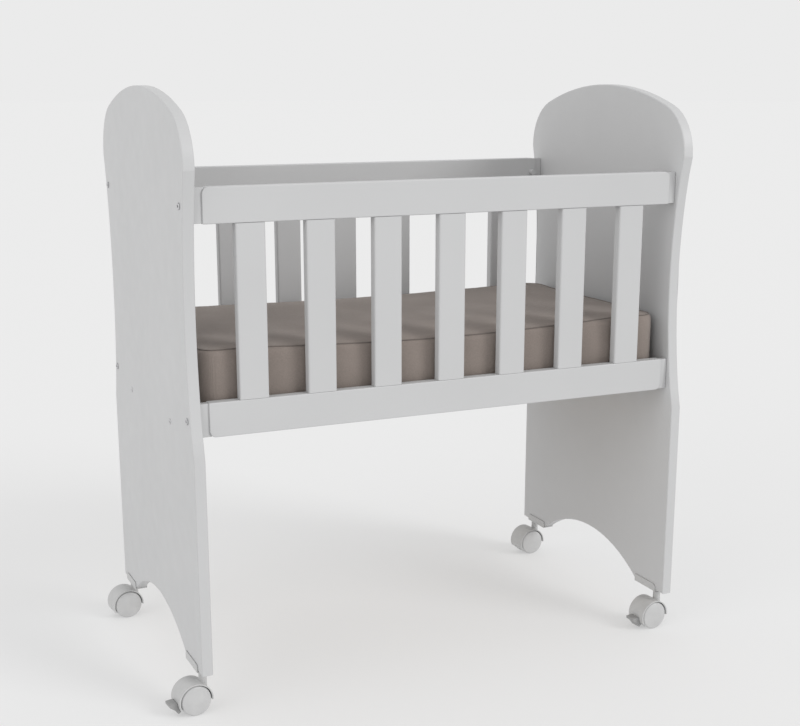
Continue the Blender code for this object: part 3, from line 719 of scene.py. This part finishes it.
class CRIB_OT_mattress(bpy.types.Operator):
    """The mattress: a filled cover with a piped top seam that sags along its long sides"""
    bl_idname = "crib.mattress"
    bl_label = "Mattress"

    def execute(self, context):
        sizes = context.scene.crib_sizes
        low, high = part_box("mattress")
        margin = sizes.mattress_swell * 0.5
        pad = add_cube("mattress_pad", low + Vector((margin, margin, 0)),
                       high - Vector((margin, margin, margin)))
        edit(pad, "EDGE")
        pick_edges(pad, upright)
        bpy.ops.mesh.bevel(offset=PAD_CORNER, segments=6, affect="EDGES")
        leave_edit()
        round_edges(pad, PAD_EDGE, degrees=60)
        hold(pad)
        pad.data.remesh_voxel_size = PAD_MESH
        pad.data.remesh_voxel_adaptivity = 0
        bpy.ops.object.voxel_remesh()
        self.fill(pad, sizes.mattress_swell, low)
        self.fit(pad, low, high)
        apply_modifier(pad, "SUBSURF", levels=1, render_levels=1)
        self.sag(pad, low, high, sizes.seam_sag)
        hold(pad)
        bpy.ops.object.shade_smooth()
        finish_piece(pad, "mattress", looks()["taupe_fabric"], "taupe_fabric", "mattress")
        self.pipe(pad, low, high, sizes)
        return {"FINISHED"}

    def fill(self, pad, most, low):
        """Lets the cover swell, and holds each point within reach of where it started."""
        start = [vert.co.copy() for vert in pad.data.vertices]
        cloth = add_modifier(pad, "CLOTH")
        settings = cloth.settings
        settings.use_pressure = True
        settings.uniform_pressure_force = 4
        settings.quality = 5
        settings.mass = 0.3
        settings.tension_stiffness = 25
        settings.compression_stiffness = 25
        settings.bending_stiffness = 2
        settings.effector_weights.gravity = 0
        cloth.point_cache.frame_start = 1
        cloth.point_cache.frame_end = 20
        for step in range(1, 21):
            bpy.context.scene.frame_set(step)
        hold(pad)
        bpy.ops.object.modifier_apply(modifier=cloth.name)
        bpy.context.scene.frame_set(1)
        for vert, origin in zip(pad.data.vertices, start):
            move = vert.co - origin
            if move.length > most:
                move *= most / move.length
            vert.co = origin + move
            vert.co.z = max(vert.co.z, low.z + 0.0001)

    def fit(self, pad, low, high):
        """Brings the filled cover back to the size it was cut to."""
        places = [vert.co for vert in pad.data.vertices]
        was_low = Vector(min(place[axis] for place in places) for axis in range(3))
        was_high = Vector(max(place[axis] for place in places) for axis in range(3))
        for vert in pad.data.vertices:
            for axis in range(3):
                share = (vert.co[axis] - was_low[axis]) / (was_high[axis] - was_low[axis])
                vert.co[axis] = low[axis] + share * (high[axis] - low[axis])

    def edge_drop(self, x, y, low, high, sag):
        """How far the top sinks: most at the middle of a long edge, nothing near the ends or mid-width."""
        along = (x - (low.x + high.x) / 2) / ((high.x - low.x) / 2)
        across = abs(y) / high.y
        bow = max(0.0, 1 - (along / 0.86) ** 2) ** 1.5
        near = min(1.0, max(0.0, (across - 0.45) / 0.55))
        return sag * bow * near * near

    def sag(self, pad, low, high, sag):
        for vert in pad.data.vertices:
            height = min(1.0, max(0.0, (vert.co.z - low.z) / (high.z - low.z)))
            vert.co.z -= self.edge_drop(vert.co.x, vert.co.y, low, high, sag) * height ** 2
        pad.data.update()

    def pipe(self, pad, low, high, sizes):
        """Piping laid on the pad along the seam, sunk by two fifths of its thickness."""
        tree = BVHTree.FromObject(pad, bpy.context.evaluated_depsgraph_get())
        mid_x, half_x, half_y = (low.x + high.x) / 2, (high.x - low.x) / 2, high.y
        turn_x, turn_y = half_x - SEAM_CORNER, half_y - SEAM_CORNER
        ring = []
        for index, (side_x, side_y) in enumerate(((1, 1), (-1, 1), (-1, -1), (1, -1))):
            centre = Vector((side_x * turn_x, side_y * turn_y))
            for step in range(CORNER_STEPS + 1):
                angle = math.radians(90 * (index + step / CORNER_STEPS))
                ring.append(centre + SEAM_CORNER * Vector((math.cos(angle), math.sin(angle))))
        path = []
        for first, second in zip(ring, ring[1:] + ring[:1]):
            pieces = max(1, int((second - first).length / SEAM_STEP))
            path += [first.lerp(second, step / pieces) for step in range(pieces)]
        points = []
        for flat in path:
            x, y = flat.x + mid_x, flat.y
            z = high.z - SEAM_DROP - self.edge_drop(x, y, low, high, sizes.seam_sag)
            if abs(flat.y) > turn_y and abs(flat.x) < turn_x:
                inward = Vector((0, -math.copysign(1, flat.y), 0))
            elif abs(flat.x) > turn_x and abs(flat.y) < turn_y:
                inward = Vector((-math.copysign(1, flat.x), 0, 0))
            else:
                centre = Vector((math.copysign(turn_x, flat.x), math.copysign(turn_y, flat.y)))
                inward = -(flat - centre).to_3d().normalized()
            hit = tree.ray_cast(Vector((x, y, z)) - inward * 0.05, inward)
            if hit[0] is None:
                raise RuntimeError("the seam misses the mattress")
            points.append(hit[0] - inward * sizes.seam_radius * 0.2)
        curve = bpy.data.curves.new("mattress_piping", "CURVE")
        curve.dimensions = "3D"
        spline = curve.splines.new("POLY")
        spline.points.add(len(points) - 1)
        for point, place in zip(spline.points, points):
            point.co = (*place, 1)
        spline.use_cyclic_u = True
        curve.bevel_depth = sizes.seam_radius
        curve.bevel_resolution = 3
        piping = bpy.data.objects.new("mattress_piping", curve)
        bpy.context.scene.collection.objects.link(piping)
        hold(piping)
        bpy.ops.object.convert(target="MESH")
        piping = bpy.context.object
        bpy.ops.object.shade_smooth()
        # the piping wears the cover fabric darkened into painted shade along the seam; its own finish is the
        # cover fabric
        finish_piece(piping, "mattress", looks()["painted_shade_piping"], "taupe_fabric")


# Casters

ROUND_PART = 32              # facets of a round part meet at less than this, in degrees
WHEEL_BORE = 0.0033
WHEEL_BORE_END = 0.0130      # from the caster's middle, as are the next two
WHEEL_INNER = 0.0040
WHEEL_OUTER = 0.0195
WHEEL_SHOULDER = (0.0036, 0.0046)    # its width and depth
WHEEL_DOME = 0.0028
WHEEL_RECESS = 0.0016
HUB_RADIUS = 0.0066
RIM_THICK = 0.0050
TREAD_EDGE = 0.0012
CHAMFER = 0.0004


class CRIB_OT_casters(bpy.types.Operator):
    """Four twin-wheel casters with their stems and shoes, and brake pedals on the front ones"""
    bl_idname = "crib.casters"
    bl_label = "Casters"

    def execute(self, context):
        joints = {joint["name"]: joint for joint in frame["record"]["behaviour"]["joints"]}
        wheel = self.make_wheel(joints["front_left_near_wheel_spin"]["pos_m"][2])
        for corner in CORNERS:
            for part, slot, edge_radius in (("hood", "white_nylon", 0.0010), ("shoe", "white_nylon", 0.0005),
                                            ("axle", "zinc_steel", 0.0004), ("stem", "zinc_steel", 0.0004)):
                self.rounded(f"{corner}_{part}", slot, slot, edge_radius)
            if corner.startswith("front"):
                # the pedals take the nylon darkened into painted shade; their own finish is the white nylon
                self.rounded(corner + "_brake_pedal", "painted_shade_nylon", "white_nylon", 0.0007)
            for part, way in (("near_wheel", -1), ("far_wheel", 1)):
                joint = joints[f"{corner}_{part}_spin"]
                axis = Vector(joint["axis"])
                turn = math.atan2(-axis.x, axis.y) + (math.pi if way < 0 else 0.0)
                place = Matrix.Translation(joint["pos_m"]) @ Matrix.Rotation(turn, 4, "Z")
                node = f"{corner}_{part}"
                piece = copy_piece(wheel, node + "_disc", place)
                finish_piece(piece, node, looks()["grey_nylon"], "grey_nylon", node)
        bpy.data.objects.remove(wheel, do_unlink=True)
        return {"FINISHED"}

    def rounded(self, node, look, slot, edge_radius):
        piece = copy_node(node, node + "_part")
        round_edges(piece, edge_radius, degrees=ROUND_PART)
        smooth(piece, ROUND_PART)
        finish_piece(piece, body_of_node(node), looks()[look], slot, node)

    def make_wheel(self, radius):
        """One wheel about the Y axis, with its hub inwards and its domed face outwards (+Y)."""
        inner, outer = WHEEL_INNER, WHEEL_OUTER
        rings = [(WHEEL_BORE, inner + CHAMFER), (WHEEL_BORE + CHAMFER, inner), (HUB_RADIUS - CHAMFER, inner),
                 (HUB_RADIUS, inner + WHEEL_RECESS),
                 (radius - RIM_THICK - 0.0006, inner + WHEEL_RECESS), (radius - RIM_THICK, inner + 0.0002),
                 (radius - TREAD_EDGE, inner), (radius - CHAMFER, inner + CHAMFER),
                 (radius, inner + TREAD_EDGE)]
        wide, deep = WHEEL_SHOULDER
        for step in range(7):
            angle = math.radians(15 * step)
            rings.append((radius - wide * (1 - math.cos(angle)), outer - deep * (1 - math.sin(angle))))
        for share in (0.96, 0.86, 0.70, 0.52, 0.32, 0.12):
            rings.append(((radius - wide) * share, outer + WHEEL_DOME * (1 - share ** 2)))

        deselect()
        bpy.ops.mesh.primitive_circle_add(vertices=72, radius=WHEEL_BORE, fill_type="NGON",
                                          location=(0, WHEEL_BORE_END, 0), rotation=(math.pi / 2, 0, 0))
        wheel = bpy.context.object
        wheel.name = "wheel_pattern"
        bake_place(wheel)
        edit(wheel)
        bpy.ops.mesh.select_all(action="SELECT")
        last_radius, last_y = WHEEL_BORE, WHEEL_BORE_END
        for ring_radius, y in rings:
            bpy.ops.mesh.extrude_region_move(TRANSFORM_OT_translate={"value": (0, y - last_y, 0)})
            grow = ring_radius / last_radius
            bpy.ops.transform.resize(value=(grow, 1, grow), center_override=(0, y, 0))
            last_radius, last_y = ring_radius, y
        bpy.ops.mesh.select_all(action="SELECT")
        bpy.ops.mesh.normals_make_consistent(inside=False)
        leave_edit()
        smooth(wheel, ROUND_PART)
        return wheel


# Stage

class CRIB_OT_stage(bpy.types.Operator):
    """Pale floor, soft light and the camera"""
    bl_idname = "crib.stage"
    bl_label = "Stage"

    def execute(self, context):
        scene = context.scene
        colours = scene.crib_colours
        deselect()
        bpy.ops.mesh.primitive_circle_add(vertices=96, radius=60, fill_type="NGON", location=(0, 0, 0))
        floor = context.object
        floor.name = "studio_floor"
        floor.data.materials.append(floor_look(colours.floor))

        world = bpy.data.worlds.new("studio")
        scene.world = world
        world.use_nodes = True
        surround = world.node_tree.nodes["Background"]
        surround.inputs["Color"].default_value = (*colours.air, 1)
        surround.inputs["Strength"].default_value = 1.0

        self.add_sun("key_light", elevation=30, azimuth=38, power=1.12, softness=24)
        self.add_sun("side_light", elevation=10, azimuth=-70, power=1.0, softness=60)

        deselect()
        bpy.ops.object.camera_add(location=(-0.9324, -2.1440, 0.9574),
                                  rotation=(math.radians(75.678), 0, math.radians(-24.363)))
        camera = context.object
        camera.name = "studio_camera"
        camera.data.sensor_width = 36
        camera.data.lens = 61.705
        camera.data.shift_y = 0.0817
        camera.data.clip_end = 200
        scene.camera = camera
        scene.view_settings.view_transform = "Standard"
        return {"FINISHED"}

    def add_sun(self, name, elevation, azimuth, power, softness):
        """A wide, soft light from in front, turned to the right by the azimuth."""
        deselect()
        bpy.ops.object.light_add(type="SUN", location=(0, -3, 2),
                                 rotation=(math.radians(90 - elevation), 0, math.radians(azimuth)))
        sun = bpy.context.object
        sun.name = name
        sun.data.energy = power
        sun.data.angle = math.radians(softness)


class CRIB_PT_sidebar(bpy.types.Panel):
    """The crib's pieces, in the order they are made"""
    bl_idname = "CRIB_PT_sidebar"
    bl_label = "Baby Crib"
    bl_space_type = "VIEW_3D"
    bl_region_type = "UI"
    bl_category = "Crib"

    def draw(self, context):
        layout = self.layout
        for group in (context.scene.crib_sizes, context.scene.crib_colours):
            box = layout.box()
            for name in group.bl_rna.properties.keys():
                if name not in ("rna_type", "name"):
                    box.prop(group, name)
        for operator in PIECES:
            layout.operator(operator.bl_idname)


PIECES = (CRIB_OT_stage, CRIB_OT_panels, CRIB_OT_rails, CRIB_OT_slats, CRIB_OT_deck, CRIB_OT_hardware,
          CRIB_OT_mattress, CRIB_OT_casters)
CLASSES = (CribSizes, CribColours) + PIECES + (CRIB_PT_sidebar,)


def register():
    for item in CLASSES:
        bpy.utils.register_class(item)
    bpy.types.Scene.crib_sizes = bpy.props.PointerProperty(type=CribSizes)
    bpy.types.Scene.crib_colours = bpy.props.PointerProperty(type=CribColours)


def unregister():
    del bpy.types.Scene.crib_sizes
    del bpy.types.Scene.crib_colours
    for item in reversed(CLASSES):
        bpy.utils.unregister_class(item)


def main():
    register()
    bpy.ops.crib.stage()
    bpy.ops.crib.panels()
    bpy.ops.crib.rails()
    bpy.ops.crib.slats()
    bpy.ops.crib.deck()
    bpy.ops.crib.hardware()
    bpy.ops.crib.mattress()
    bpy.ops.crib.casters()


if __name__ == "__main__":
    main()
